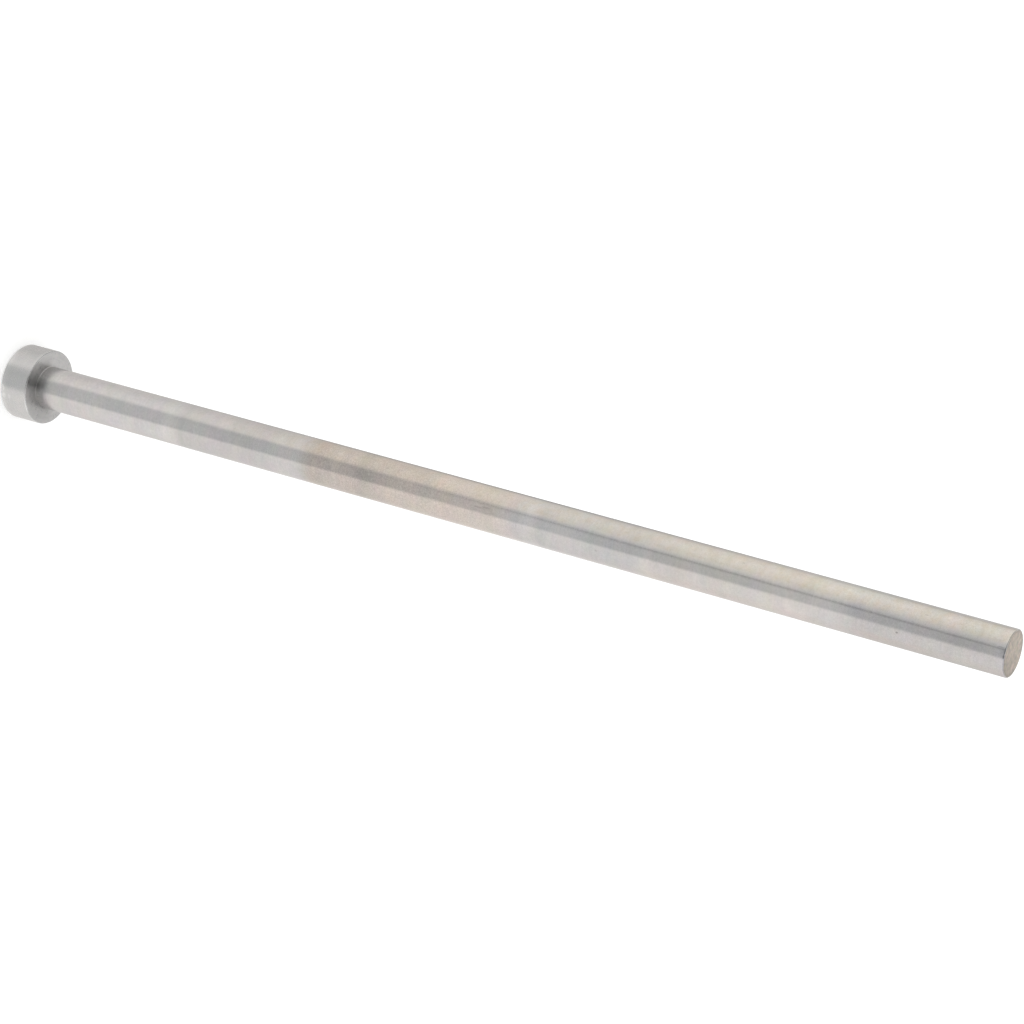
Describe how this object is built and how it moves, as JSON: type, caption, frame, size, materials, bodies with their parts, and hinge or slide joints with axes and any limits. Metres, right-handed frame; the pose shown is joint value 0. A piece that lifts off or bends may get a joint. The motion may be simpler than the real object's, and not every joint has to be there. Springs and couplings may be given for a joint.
{
  "type": "core pin",
  "caption": "Straight round mould core pin with a plain cylindrical head and a flat tip, turned and ground from one bar of steel.",
  "frame": {"origin": "centre of the head's back face, which the pin stands on", "axes": "+Z along the pin's axis, from the head to the tip; X and Y are any two directions across the pin, because it is round"},
  "size_m": [0.0112, 0.011, 0.1587],
  "materials": {
    "ground_steel": "shank cylindrically ground, head turned, a faint straw heat tint along part of the shank"
  },
  "bodies": {
    "root": {"core_pin": "ground_steel"}
  },
  "joints": []
}
